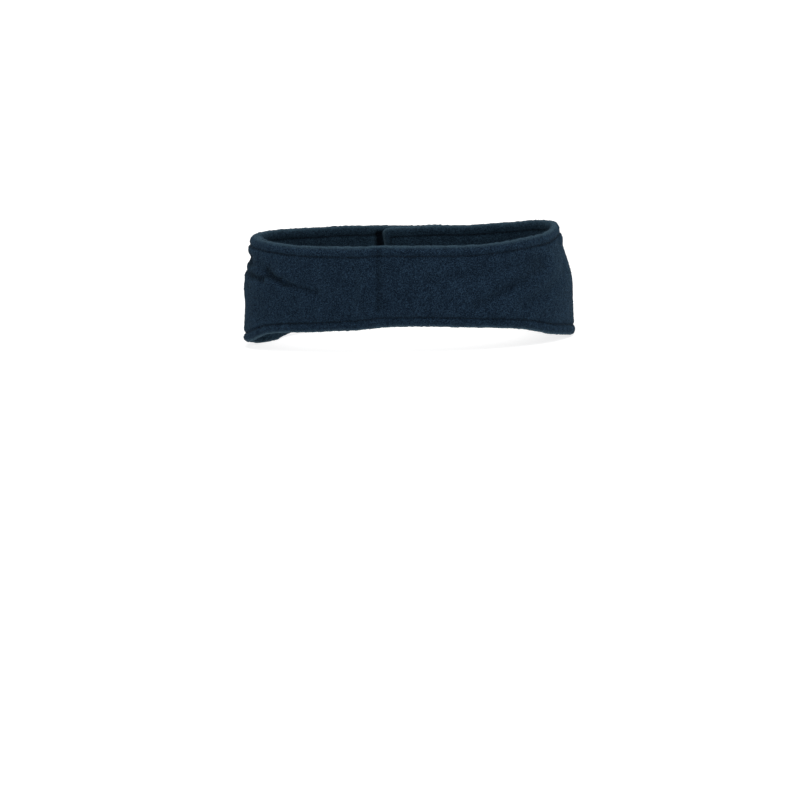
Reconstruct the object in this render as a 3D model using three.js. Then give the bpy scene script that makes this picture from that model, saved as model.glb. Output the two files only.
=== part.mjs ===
// A fleece headband, closed at the back with hook and loop tape and standing on its lower edge.
// Two layers of fleece are sewn together round the edge, turned and topstitched.
// Millimetres, +Z up. The forehead side faces -Y and +X is at the right of the photograph.
// A place on the band is given by s, the way along the strip from its middle, positive
// towards +X at the front, and by w, the way down from the rim.
import * as THREE from "three";

// The strip, laid flat
const STRIP_LENGTH = 615;
const CORNER_RADIUS = 6;
const END_HOLLOW = 3;
const HOLLOW_REACH = 40;
const INNER_END_CUT = 3;
const CUT_REACH = 150;
// The strip's height at each distance from its middle
const STRIP_HEIGHTS = [
  { at: 0, height: 56 },
  { at: 42, height: 57.4 },
  { at: 75, height: 61.6 },
  { at: 109, height: 69.4 },
  { at: 125, height: 75.6 },
  { at: 142, height: 81.3 },
  { at: 157, height: 82 },
  { at: 176, height: 78.2 },
  { at: 210, height: 68.7 },
  { at: 243, height: 63.6 },
  { at: 276, height: 63.3 },
  { at: 308, height: 64.9 },
];

// The fleece and its seams
const FLEECE_THICKNESS = 2.7;
const EDGE_THICKNESS = 0.5;
const EDGE_ROLL = 3.2;
const LAYER_GAP = 0.3;
const STITCH_FROM_RIM = 7;
const STITCH_FROM_END = 5;
const STITCH_DEPTH = 0.9;
const STITCH_WIDTH = 1.3;

// The closure
const OVERLAP = 53;
const TAPE_THICKNESS = 0.9;
const SEAT_GAP = 0.3;
const LOOP_PATCHES = [
  { name: "loop_patch_1", from_end: 8.9, length: 19.5, height: 33, from_rim: 15.5 },
  { name: "loop_patch_2", from_end: 40.5, length: 19.5, height: 33, from_rim: 15.5 },
  { name: "loop_patch_3", from_end: 75.2, length: 19.5, height: 33, from_rim: 15.5 },
];
const HOOK_PATCH = { name: "hook_patch", from_end: 13.4, length: 18.4, height: 39, from_rim: 12.5 };

// The closed loop, seen from above: a squarish oval, wider at the +X end
const HALF_WIDTH = 114.9;
const SQUARENESS = 2.1;
const SKEW = 0.2;
const RIGHT_BEND = 141;
const FLAP_RUN_IN = { outer: 9, inner: 48 };
const INNER_FLAP_SHARE = 0.25;
const LIP_LENGTH = 12;
const LIP_PRESS = 1.5;

// The way it stands. The rim's height above the table, by s: it dips at the forehead and at
// the closure, where the outer flap comes first in the table and the inner flap last.
const RIM_HEIGHTS = [
  { at: -312, height: 73.1 },
  { at: -299, height: 73.5 },
  { at: -285, height: 73.4 },
  { at: -274, height: 74.1 },
  { at: -261, height: 74.9 },
  { at: -252, height: 75.7 },
  { at: -237, height: 77.1 },
  { at: -209, height: 78 },
  { at: -184, height: 79.3 },
  { at: -164, height: 79.9 },
  { at: -140, height: 79.9 },
  { at: -119, height: 78.5 },
  { at: -99, height: 76.9 },
  { at: -79, height: 75.8 },
  { at: -49, height: 75.5 },
  { at: -24, height: 75.8 },
  { at: -4, height: 75.2 },
  { at: 16, height: 74.7 },
  { at: 41, height: 74.1 },
  { at: 61, height: 74.6 },
  { at: 81, height: 75.9 },
  { at: 106, height: 77.4 },
  { at: 121, height: 78.8 },
  { at: 141, height: 79.9 },
  { at: 156, height: 79.3 },
  { at: 181, height: 77.9 },
  { at: 200, height: 75.8 },
  { at: 218, height: 74.4 },
  { at: 239, height: 73.3 },
  { at: 263, height: 73.9 },
  { at: 308, height: 74.3 },
];
// Where the lower edge rides up or hangs lower than the strip's height makes it
const HEM_LIFTS = [
  { at: -186, lift: -1.5, width: 15 },
  { at: -108, lift: 4.2, width: 28 },
  { at: -40, lift: -1.4, width: 20 },
  { at: -141, lift: 2.2, width: 9 },
  { at: 106, lift: -4, width: 26 },
];
const RIM_DRAWN_IN = { middle: 2.5, left: 5.3, right: 9.5 };
const DRAW_REACH = { middle: 26, left: 36, right: 46 };
const RIM_LEAN = { middle: 0, left: 1.8, right: -0.8 };
const LEAN_REACH = 11;
const HEM_TUCK = { middle: 2, left: -2.6, right: -0.3 };
const HEM_REACH = { middle: 14, left: 34, right: 14 };
const RESTING_EDGE = 2.1;
const SQUASH_DEPTH = 0.8;

// Folds in the cloth: from one place to another, with a depth (inward) and a half width
const FOLDS = [
  { s1: -157, w1: 17.5, s2: -128, w2: 17, depth: 3.7, width: 4.4 },
  { s1: -128, w1: 17, s2: -104, w2: 19, depth: 1.6, width: 5 },
  { s1: -144, w1: 24.5, s2: -111, w2: 28.5, depth: 2.7, width: 3.2 },
  { s1: -150, w1: 31.5, s2: -128, w2: 34, depth: 1.3, width: 4.5 },
  { s1: -107, w1: 23.5, s2: -94, w2: 27.5, depth: 2.8, width: 3.6 },
  { s1: -94, w1: 27.5, s2: -68, w2: 31.5, depth: 2.2, width: 3.4 },
  { s1: -39, w1: 24, s2: -46, w2: 46, depth: 1.5, width: 4 },
  { s1: -35, w1: 4, s2: -34, w2: 40, depth: -1.6, width: 5 },
  { s1: -24, w1: 5, s2: -26, w2: 42, depth: 2.4, width: 4.4 },
  { s1: -16, w1: 6, s2: -20, w2: 46, depth: 1, width: 6 },
  { s1: 11, w1: 22, s2: 91, w2: 16, depth: 1.6, width: 5.5 },
  { s1: 42, w1: 41, s2: 96, w2: 20, depth: 2.2, width: 5.5 },
  { s1: 76, w1: 44, s2: 121, w2: 28, depth: 1.8, width: 5.5 },
  { s1: 130, w1: 10.5, s2: 152, w2: 10.5, depth: -1.8, width: 4.2 },
];
// Broad hollows and bulges: the lower edge is pinched behind the -X bend and stands out
// before the +X bend
const HOLLOWS = [
  { s: -160, w: 84, length: 15, height: 22, depth: 9.5 },
  { s: 122, w: 76, length: 11, height: 14, depth: -1 },
];

// How finely the cloth is cut up
const END_STATIONS = [0, 0.7, 2.6, 5, 7.4, 10.6];
const STATION_RUNS = [
  { until: -264, step: 8 },
  { until: -236, step: 3.5 },
  { until: -160, step: 11 },
  { until: -60, step: 6 },
  { until: STRIP_LENGTH / 2 - END_STATIONS.at(-1), step: 11.5 },
];
const RIM_ROWS = [0, 0.7, 2.4, 4.7, 7, 9.3];
const MIDDLE_ROWS = 6;
const PATCH_STEP = 5;
const OVAL_STEPS = 1440;
const NORMAL_REACH = 1.5;

const FLEECE_NAVY = 0x1d2a38;
const LINING_NAVY = 0x1a2633;
const TAPE_NAVY = 0x161d29;

const HALF_STRIP = STRIP_LENGTH / 2;
const PERIMETER = STRIP_LENGTH - OVERLAP;
const LAYER_NEAR = LAYER_GAP / 2;
const LAYER_FAR = LAYER_NEAR + FLEECE_THICKNESS;
const TAPE_NEAR = LAYER_FAR + SEAT_GAP;
const TAPE_FAR = TAPE_NEAR + TAPE_THICKNESS;
const CLOSURE_THICKNESS = 2 * TAPE_FAR + SEAT_GAP;

// Eases from 0 to 1 as t goes from 0 to 1.
function ease(t) {
  const u = THREE.MathUtils.clamp(t, 0, 1);
  return u * u * (3 - 2 * u);
}

// The height at a place on the smooth curve through the rows of a table.
function heightIn(rows, place) {
  let k = 0;
  while (k < rows.length - 2 && place > rows[k + 1].at) {
    k += 1;
  }
  const slope = (i) => {
    const before = rows[Math.max(i - 1, 0)];
    const after = rows[Math.min(i + 1, rows.length - 1)];
    const rise = after.height - before.height;
    return i === 0 ? 0 : rise / (after.at - before.at);
  };
  const span = rows[k + 1].at - rows[k].at;
  const t = (place - rows[k].at) / span;
  const bend = t * (t - 1) * span;
  const line = THREE.MathUtils.lerp(rows[k].height, rows[k + 1].height, ease(t));
  return line + bend * ((t - 1) * slope(k) + t * slope(k + 1));
}

function stripHeight(s) {
  return heightIn(STRIP_HEIGHTS, Math.abs(s));
}

function rimHeight(s) {
  return heightIn(RIM_HEIGHTS, s);
}

// The height of the lower edge, which lies on the table where the strip is tall enough.
function hemHeight(s) {
  let height = rimHeight(s) - stripHeight(s);
  for (const hem of HEM_LIFTS) {
    height += hem.lift * Math.exp(-(((s - hem.at) / hem.width) ** 2));
  }
  return height;
}

// The oval for a given half depth, as points with their distance along it from the +X bend.
function ovalPath(halfDepth) {
  const power = 2 / SQUARENESS;
  const points = [];
  let along = 0;
  for (let i = 0; i <= OVAL_STEPS; i += 1) {
    const turn = (2 * Math.PI * i) / OVAL_STEPS;
    const across = Math.sign(Math.cos(turn)) * Math.abs(Math.cos(turn)) ** power;
    const deep = Math.sign(Math.sin(turn)) * Math.abs(Math.sin(turn)) ** power;
    const x = HALF_WIDTH * across;
    const y = halfDepth * deep * (1 + SKEW * across);
    if (i > 0) {
      along += Math.hypot(x - points[i - 1].x, y - points[i - 1].y);
    }
    points.push({ x, y, along });
  }
  return points;
}

// The half depth that makes the closed loop as long as the strip less its overlap.
function closedHalfDepth() {
  let low = HALF_WIDTH / 4;
  let high = HALF_WIDTH;
  for (let i = 0; i < 40; i += 1) {
    const middle = (low + high) / 2;
    if (ovalPath(middle).at(-1).along < PERIMETER) {
      low = middle;
    } else {
      high = middle;
    }
  }
  return low;
}

const HALF_DEPTH = closedHalfDepth();
const OVAL = ovalPath(HALF_DEPTH);

// The point of the oval at s.
function ovalPoint(s) {
  const length = OVAL.at(-1).along;
  const along = THREE.MathUtils.euclideanModulo(s - RIGHT_BEND, length);
  let low = 0;
  let high = OVAL.length - 1;
  while (high - low > 1) {
    const middle = Math.floor((low + high) / 2);
    if (OVAL[middle].along > along) {
      high = middle;
    } else {
      low = middle;
    }
  }
  const t = (along - OVAL[low].along) / (OVAL[high].along - OVAL[low].along);
  return {
    x: THREE.MathUtils.lerp(OVAL[low].x, OVAL[high].x, t),
    y: THREE.MathUtils.lerp(OVAL[low].y, OVAL[high].y, t),
  };
}

// The level outward direction at s of a path round the band.
function outwardOf(path, s) {
  const before = path(s - NORMAL_REACH);
  const after = path(s + NORMAL_REACH);
  const length = Math.hypot(after.x - before.x, after.y - before.y);
  return { x: (after.y - before.y) / length, y: (before.x - after.x) / length };
}

// A size that has its own value at each of the two bends.
function byBend(sizes, s) {
  const side = ovalPoint(s).x / HALF_WIDTH;
  const left = (sizes.left - sizes.middle) * Math.max(-side, 0) ** 4;
  const right = (sizes.right - sizes.middle) * Math.max(side, 0) ** 4;
  return sizes.middle + left + right;
}

// The outer flap steps out round the end of the inner flap, which leans in a little, so that
// the closure lies between them. The outer flap's lip leans back towards the inner one.
function flapShift(s) {
  const laid = HALF_STRIP - OVERLAP;
  const outer = ease((-s - laid + FLAP_RUN_IN.outer) / FLAP_RUN_IN.outer);
  const inner = ease((s - laid + FLAP_RUN_IN.inner) / FLAP_RUN_IN.inner);
  const lip = ease((-s - HALF_STRIP + LIP_LENGTH) / LIP_LENGTH);
  const share = (1 - INNER_FLAP_SHARE) * outer - INNER_FLAP_SHARE * inner;
  return CLOSURE_THICKNESS * share - LIP_PRESS * lip;
}

// The depth of the folds at s, w.
function foldDepth(s, w) {
  let depth = 0;
  for (const fold of FOLDS) {
    const ds = fold.s2 - fold.s1;
    const dw = fold.w2 - fold.w1;
    const t = ((s - fold.s1) * ds + (w - fold.w1) * dw) / (ds * ds + dw * dw);
    const near = THREE.MathUtils.clamp(t, 0, 1);
    const off = Math.hypot(s - fold.s1 - near * ds, w - fold.w1 - near * dw);
    depth += fold.depth * Math.exp(-((off / fold.width) ** 2));
  }
  return depth;
}

// The depth of the broad hollows at s, w.
function hollowDepth(s, w) {
  let depth = 0;
  for (const hollow of HOLLOWS) {
    const along = (s - hollow.s) / hollow.length;
    const down = (w - hollow.w) / hollow.height;
    depth += hollow.depth * Math.exp(-(along ** 2) - down ** 2);
  }
  return depth;
}

// The strip's two ends are slightly hollow between their corners, and the inner one is cut
// a little shorter.
function endHollow(s, w) {
  const halfHeight = stripHeight(s) / 2;
  const depth = END_HOLLOW * (1 - ((w - halfHeight) / halfHeight) ** 2);
  const near = ease((Math.abs(s) - HALF_STRIP + HOLLOW_REACH) / HOLLOW_REACH);
  const cut = INNER_END_CUT * ease((s - HALF_STRIP + CUT_REACH) / CUT_REACH);
  return Math.sign(s) * depth * near + cut;
}

// The place between the two layers at s, w, seen from above.
function middlePoint(s, w) {
  const along = s - endHollow(s, w);
  const oval = ovalPoint(along);
  const outward = outwardOf(ovalPoint, along);
  const drawn = byBend(RIM_DRAWN_IN, s) * (1 - ease(w / byBend(DRAW_REACH, s)));
  const leaned = byBend(RIM_LEAN, s) * (1 - ease(w / LEAN_REACH));
  const reach = byBend(HEM_REACH, s);
  const tucked = byBend(HEM_TUCK, s) * ease((w - stripHeight(s) + reach) / reach);
  const pressed = foldDepth(s, w) + hollowDepth(s, w);
  const off = flapShift(s) - drawn - leaned - tucked - pressed;
  return { x: oval.x + outward.x * off, y: oval.y + outward.y * off };
}

// The place on the closed band at s, w and the level distance out from between its layers.
function bandPoint(s, w, out) {
  const top = rimHeight(s);
  const bottom = Math.max(hemHeight(s), 0);
  const middle = middlePoint(s, w);
  const outward = outwardOf((at) => middlePoint(at, w), s);
  return new THREE.Vector3(
    middle.x + outward.x * out,
    middle.y + outward.y * out,
    top - (w / stripHeight(s)) * (top - bottom),
  );
}

// The distance from s, w to the strip's outline moved inward, positive inside it.
function insideOutline(s, w, fromEnd, fromRim, radius) {
  const halfHeight = stripHeight(s) / 2;
  const x = Math.abs(s) - (HALF_STRIP - fromEnd - radius);
  const y = Math.abs(w - halfHeight) - (halfHeight - fromRim - radius);
  const corner = Math.hypot(Math.max(x, 0), Math.max(y, 0));
  return radius - corner - Math.min(Math.max(x, y), 0);
}

// How thick one layer is at s, w: rolled at its edge, pinched along the topstitching
// and squashed flat where it stands on the table.
function layerThickness(s, w) {
  const squashed = w > stripHeight(s) / 2 ? ease(-hemHeight(s) / SQUASH_DEPTH) : 0;
  const edge = THREE.MathUtils.lerp(EDGE_THICKNESS, RESTING_EDGE, squashed);
  const inside = insideOutline(s, w, 0, 0, CORNER_RADIUS);
  const roll = 1 - THREE.MathUtils.clamp(inside / EDGE_ROLL, 0, 1);
  const full = edge + (FLEECE_THICKNESS - edge) * Math.sqrt(1 - roll * roll);
  const stitchRadius = CORNER_RADIUS - STITCH_FROM_END;
  const stitch = insideOutline(s, w, STITCH_FROM_END, STITCH_FROM_RIM, stitchRadius);
  return full - STITCH_DEPTH * Math.exp(-((stitch / STITCH_WIDTH) ** 2));
}

// A closed sheet between two faces. The grid has a row of [s, w] pairs for each station;
// far(s, w) and near(s, w) give the distances out of its outer and inner face.
function sheetGeometry(grid, near, far) {
  const rows = grid[0].length;
  const half = grid.length * rows;
  const positions = [];
  for (const face of [far, near]) {
    for (const station of grid) {
      for (const [s, w] of station) {
        positions.push(...bandPoint(s, w, face(s, w)).toArray());
      }
    }
  }
  const indices = [];
  const quad = (a, b, c, d) => indices.push(a, b, c, a, c, d);
  const at = (i, j) => i * rows + j;
  for (let i = 0; i < grid.length - 1; i += 1) {
    for (let j = 0; j < rows - 1; j += 1) {
      const [a, b, c, d] = [at(i, j), at(i, j + 1), at(i + 1, j + 1), at(i + 1, j)];
      quad(a, b, c, d);
      quad(a + half, d + half, c + half, b + half);
    }
  }
  const edge = [];
  for (let i = 0; i < grid.length - 1; i += 1) {
    edge.push(at(i, 0));
  }
  for (let j = 0; j < rows - 1; j += 1) {
    edge.push(at(grid.length - 1, j));
  }
  for (let i = grid.length - 1; i > 0; i -= 1) {
    edge.push(at(i, rows - 1));
  }
  for (let j = rows - 1; j > 0; j -= 1) {
    edge.push(at(0, j));
  }
  edge.forEach((a, k) => {
    const b = edge[(k + 1) % edge.length];
    quad(a, b, b + half, a + half);
  });
  const geometry = new THREE.BufferGeometry();
  geometry.setAttribute("position", new THREE.Float32BufferAttribute(positions, 3));
  geometry.setIndex(indices);
  return geometry.toNonIndexed();
}

// The stations and rows of a whole fleece layer, close together at the edges.
function layerGrid() {
  const stations = END_STATIONS.map((d) => d - HALF_STRIP);
  for (const run of STATION_RUNS) {
    const from = stations.at(-1);
    const count = Math.round((run.until - from) / run.step);
    for (let i = 1; i <= count; i += 1) {
      stations.push(from + ((run.until - from) * i) / count);
    }
  }
  stations.pop();
  stations.push(...END_STATIONS.map((d) => HALF_STRIP - d).reverse());
  return stations.map((s) => {
    const height = stripHeight(s);
    const past = Math.max(Math.abs(s) - HALF_STRIP + CORNER_RADIUS, 0);
    const drop = CORNER_RADIUS - Math.sqrt(CORNER_RADIUS ** 2 - past ** 2);
    const first = drop + RIM_ROWS.at(-1);
    const last = height - first;
    const rows = RIM_ROWS.map((d) => drop + d);
    for (let j = 1; j <= MIDDLE_ROWS; j += 1) {
      rows.push(first + ((last - first) * j) / (MIDDLE_ROWS + 1));
    }
    rows.push(...RIM_ROWS.map((d) => height - drop - d).reverse());
    return rows.map((w) => [s, w]);
  });
}

// The fleece that shows on the outside, and the one that lies against the head.
function outerLayer() {
  return sheetGeometry(layerGrid(), () => LAYER_NEAR, (s, w) => LAYER_NEAR + layerThickness(s, w));
}

function innerLayer() {
  return sheetGeometry(layerGrid(), (s, w) => -LAYER_NEAR - layerThickness(s, w), () => -LAYER_NEAR);
}

// A patch of tape at one end of the strip, on its outer face or on its inner one.
function tapePatch(patch, end, face) {
  const start = end * (HALF_STRIP - patch.from_end - (end > 0 ? patch.length : 0));
  const columns = Math.ceil(patch.length / PATCH_STEP);
  const rows = Math.ceil(patch.height / PATCH_STEP);
  const grid = [];
  for (let i = 0; i <= columns; i += 1) {
    const station = [];
    for (let j = 0; j <= rows; j += 1) {
      station.push([
        start + (patch.length * i) / columns,
        patch.from_rim + (patch.height * j) / rows,
      ]);
    }
    grid.push(station);
  }
  const near = face > 0 ? TAPE_NEAR : -TAPE_FAR;
  const far = face > 0 ? TAPE_FAR : -TAPE_NEAR;
  return sheetGeometry(grid, () => near, () => far);
}

function cloth(colour, roughness) {
  return new THREE.MeshStandardMaterial({ color: colour, roughness, metalness: 0 });
}

function piece(name, geometry, material) {
  const mesh = new THREE.Mesh(geometry, material);
  mesh.name = name;
  return mesh;
}

const headband = new THREE.Group();
headband.add(piece("outer_layer", outerLayer(), cloth(FLEECE_NAVY, 0.95)));
headband.add(piece("inner_layer", innerLayer(), cloth(LINING_NAVY, 0.95)));
for (const patch of LOOP_PATCHES) {
  headband.add(piece(patch.name, tapePatch(patch, 1, 1), cloth(TAPE_NAVY, 0.85)));
}
headband.add(piece(HOOK_PATCH.name, tapePatch(HOOK_PATCH, -1, -1), cloth(TAPE_NAVY, 0.6)));

// The origin is on the table, under the middle of the band's box.
const middle = new THREE.Box3().setFromObject(headband).getCenter(new THREE.Vector3());
headband.position.set(-middle.x, -middle.y, 0);

export default headband;
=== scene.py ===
"""A fleece headband, closed at the back with hook and loop tape and standing on its lower edge."""
import math

import bpy
import numpy as np
from mathutils import Matrix, Vector


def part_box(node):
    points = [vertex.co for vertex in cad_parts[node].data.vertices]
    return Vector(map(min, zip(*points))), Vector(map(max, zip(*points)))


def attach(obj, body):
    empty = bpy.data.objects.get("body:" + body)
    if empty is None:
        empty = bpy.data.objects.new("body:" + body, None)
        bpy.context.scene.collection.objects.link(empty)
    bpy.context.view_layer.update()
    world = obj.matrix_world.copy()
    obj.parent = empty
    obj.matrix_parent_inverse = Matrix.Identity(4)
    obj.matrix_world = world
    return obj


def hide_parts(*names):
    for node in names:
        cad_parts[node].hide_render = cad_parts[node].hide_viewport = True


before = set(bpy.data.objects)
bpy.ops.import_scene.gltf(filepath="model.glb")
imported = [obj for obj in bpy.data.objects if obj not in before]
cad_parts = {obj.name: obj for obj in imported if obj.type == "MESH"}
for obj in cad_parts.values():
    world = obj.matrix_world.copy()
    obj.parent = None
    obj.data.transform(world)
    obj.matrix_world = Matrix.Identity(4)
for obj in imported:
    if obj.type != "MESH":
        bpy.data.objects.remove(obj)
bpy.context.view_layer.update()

# Camera
# The photograph looks along +Y from a little above the rim. The band stands above the middle of
# the picture, so the camera points down past it, and the picture is rolled a little.
PICTURE_WIDTH = 800
LENS_PIXELS = 1807
SENSOR_WIDTH = 36
SIGHT_POINT = Vector((0, -0.0031, 0.038))
SIGHT_PIXEL = Vector((407.2, 286.5))
SIGHT_DISTANCE = 1.3
SIGHT_DROP = math.radians(9.5)
PICTURE_ROLL = math.radians(2.35)
FARTHEST_SEEN = 600

camera_data = bpy.data.cameras.new("camera")
camera_data.sensor_width = SENSOR_WIDTH
camera_data.lens = SENSOR_WIDTH * LENS_PIXELS / PICTURE_WIDTH
camera_data.clip_end = FARTHEST_SEEN
camera = bpy.data.objects.new("camera", camera_data)
bpy.context.scene.collection.objects.link(camera)
bpy.context.scene.camera = camera
back = Vector((0, -math.cos(SIGHT_DROP), math.sin(SIGHT_DROP)))
level_view = Matrix(((1, 0, 0), (0, back.z, back.y), (0, -back.y, back.z)))
aside = SIGHT_PIXEL.x - PICTURE_WIDTH / 2
above = PICTURE_WIDTH / 2 - SIGHT_PIXEL.y
to_sight = Vector((aside, above, -LENS_PIXELS)).rotation_difference(Vector((0, 0, -1)))
turn = level_view @ Matrix.Rotation(-PICTURE_ROLL, 3, "Z") @ to_sight.to_matrix()
camera.matrix_world = Matrix.Translation(SIGHT_POINT + back * SIGHT_DISTANCE) @ turn.to_4x4()


# Floor and light
# A plain white floor runs to the horizon and glows faintly, as a lit table does, so shadows on
# it stay pale. Light comes evenly from all round, as in a white studio tent, and a broad soft
# lamp nearly overhead gives the cloth its shape.
FLOOR_REACH = 200
FLOOR_DROP = 0.0002
FLOOR_GLOW = 0.75
FLOOR_GRAIN = 0.1
FLOOR_ROUGHNESS = 0.9
FLOOR_DARK, FLOOR_LIGHT = (0.40, 0.40, 0.40), (0.42, 0.42, 0.42)
TENT_LIGHT = 0.62
LAMP_LIGHT = 2.3
LAMP_BREADTH = math.radians(44)
LAMP_TURN = (math.radians(15), math.radians(8), 0)


class Wire:
    """One output of a node, on which sums are written as on a number."""

    def __init__(self, nodes, socket):
        self.nodes = nodes
        self.socket = socket

    def maths(self, operation, *values):
        sockets = dict(enumerate(values))
        return self.nodes.node("ShaderNodeMath", {"operation": operation}, sockets)

    def at_least(self, least):
        return self.maths("MAXIMUM", self, least)

    def __add__(self, other):
        return self.maths("ADD", self, other)

    def __sub__(self, other):
        return self.maths("SUBTRACT", self, other)

    def __mul__(self, other):
        return self.maths("MULTIPLY", self, other)

    def other(self, name):
        """Another output of the same node."""
        return Wire(self.nodes, self.socket.node.outputs[name])

    __radd__ = __add__


class Nodes:
    """A node tree being built. node() adds one node and gives back one of its outputs."""

    def __init__(self, tree):
        self.tree = tree

    def node(self, kind, settings=None, sockets=None, output=0):
        made = self.tree.nodes.new(kind)
        for name, value in (settings or {}).items():
            setattr(made, name, value)
        for name, value in (sockets or {}).items():
            if isinstance(value, Wire):
                self.tree.links.new(value.socket, made.inputs[name])
            else:
                made.inputs[name].default_value = value
        return Wire(self, made.outputs[output]) if made.outputs else None


def finish_of(name):
    """A new material's nodes, emptied, and the material."""
    material = bpy.data.materials.new(name)
    material.use_nodes = True
    material.node_tree.nodes.clear()
    return Nodes(material.node_tree), material


def own_place(nodes):
    return nodes.node("ShaderNodeTexCoord", output="Object")


def noise(nodes, place, scale, detail=2.0, roughness=0.5):
    values = {"Vector": place, "Scale": scale, "Detail": detail, "Roughness": roughness}
    return nodes.node("ShaderNodeTexNoise", sockets=values)


def blend(nodes, factor, first, second):
    """A colour between two, each of them a plain colour or another node's."""
    sockets = {"Factor": factor}
    for number, colour in ((6, first), (7, second)):
        sockets[number] = colour if isinstance(colour, Wire) else (*colour, 1)
    settings = {"data_type": "RGBA", "clamp_factor": True}
    return nodes.node("ShaderNodeMix", settings, sockets, output=2)


def surface(nodes, values):
    """The end of a finish: a surface with these values of the shader's own sockets."""
    made = nodes.node("ShaderNodeBsdfPrincipled", sockets=values)
    nodes.node("ShaderNodeOutputMaterial", sockets={"Surface": made})


def mesh_piece(name, points, faces, material=None, numbers=None):
    """An object in the scene with a smooth mesh of these points and faces. numbers holds the
    arrays of the mesh's own named attributes, one row for each point."""
    mesh = bpy.data.meshes.new(name)
    mesh.from_pydata(points, [], faces)
    mesh.shade_smooth()
    if material:
        mesh.materials.append(material)
    for label, values in (numbers or {}).items():
        values = np.asarray(values, float)
        kind, field = ("FLOAT", "value") if values.ndim == 1 else ("FLOAT_VECTOR", "vector")
        mesh.attributes.new(label, kind, "POINT").data.foreach_set(field, values.ravel())
    made = bpy.data.objects.new(name, mesh)
    bpy.context.scene.collection.objects.link(made)
    return made


nodes, floor_paint = finish_of("floor_paint")
grain = noise(nodes, own_place(nodes), FLOOR_GRAIN)
coat = {
    "Base Color": blend(nodes, grain, FLOOR_DARK, FLOOR_LIGHT),
    "Roughness": FLOOR_ROUGHNESS,
    "Emission Color": (1, 1, 1, 1),
    "Emission Strength": FLOOR_GLOW,
}
surface(nodes, coat)
edges = (-FLOOR_REACH, FLOOR_REACH)
corners = [(x, y, -FLOOR_DROP) for y in edges for x in edges]
floor = mesh_piece("floor", corners, [(0, 1, 3, 2)], floor_paint)

world = bpy.data.worlds.new("tent")
world.use_nodes = True
world.node_tree.nodes["Background"].inputs["Color"].default_value = (1, 1, 1, 1)
world.node_tree.nodes["Background"].inputs["Strength"].default_value = TENT_LIGHT
bpy.context.scene.world = world
bpy.context.scene.view_settings.view_transform = "Standard"
lamp_data = bpy.data.lights.new("lamp", "SUN")
lamp_data.energy = LAMP_LIGHT
lamp_data.angle = LAMP_BREADTH
lamp = bpy.data.objects.new("lamp", lamp_data)
lamp.rotation_euler = LAMP_TURN
bpy.context.scene.collection.objects.link(lamp)


# The two layers of fleece
# Two strips of short-pile polyester fleece, sewn together round the edge, turned and
# topstitched, so the seam's welt stands up and the stitching sinks in. A place on the strip is
# given by s, the way along it from its middle, and w, the way down from the rim, in mm.
MM = 0.001

# How the strip is cut and sewn
STRIP_LENGTH = 615
CORNER_RADIUS = 6
END_HOLLOW = 3
HOLLOW_REACH = 40
INNER_END_CUT = 3
CUT_REACH = 150
STRIP_HEIGHTS = {  # the strip's height at each distance from its middle
    0: 56, 42: 57.4, 75: 61.6, 109: 69.4, 125: 75.6, 142: 81.3,
    157: 82, 176: 78.2, 210: 68.7, 243: 63.6, 276: 63.3, 308: 64.9,
}
FLEECE_THICKNESS = 2.7
EDGE_THICKNESS = 0.05
EDGE_ROLL = 3.6
SEAM_GAP = 0.02
LAYER_GAP = 0.3
WELT = {"rise": 0.45, "from_edge": 3.9, "width": 1.9}
STITCH_FROM_RIM = 7
STITCH_FROM_END = 5
STITCH_DEPTH = 1.05
STITCH_WIDTH = 1.15

# How it is closed, and how it stands
OVERLAP = 53
HALF_WIDTH = 114.9
SQUARENESS = 2.1
SKEW = 0.2
BEND_POWER = 4
RIGHT_BEND = 141
OUTER_FLAP_RUN_IN = 9
INNER_FLAP_RUN_IN = 48
INNER_FLAP_SHARE = 0.25
LIP_LENGTH = 12
LIP_PRESS = 1.5
RIM_HEIGHTS = {  # the rim's height above the table at each s, from the outer flap's end
    -312: 73.1, -299: 73.5, -285: 73.4, -274: 74.1, -261: 74.9, -252: 75.7, -237: 77.1,
    -209: 78, -184: 79.3, -164: 79.9, -140: 79.9, -119: 78.5, -99: 76.9, -79: 75.8, -49: 75.5,
    -24: 75.8, -4: 75.2, 16: 74.7, 41: 74.1, 61: 74.6, 81: 75.9, 106: 77.4, 121: 78.8,
    141: 79.9, 156: 79.3, 181: 77.9, 200: 75.8, 218: 74.4, 239: 73.3, 263: 73.9, 308: 74.3,
}
HEM_LIFTS = [  # where the lower edge rides up or hangs lower: the place, how far, its half width
    (-186, -1.5, 15),
    (-108, 4.2, 28),
    (-40, -1.4, 20),
    (-141, 2.2, 9),
    (106, -4, 26),
]
RIM_DRAWN_IN = {"middle": 2.5, "left": 5.3, "right": 9.5}
DRAW_REACH = {"middle": 26, "left": 36, "right": 46}
RIM_LEAN = {"middle": 0, "left": 1.8, "right": -0.8}
LEAN_REACH = 11
HEM_TUCK = {"middle": 2, "left": -2.6, "right": -0.3}
HEM_REACH = {"middle": 14, "left": 34, "right": 14}
RESTING_EDGE = 2.1
SQUASH_DEPTH = 0.8
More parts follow.
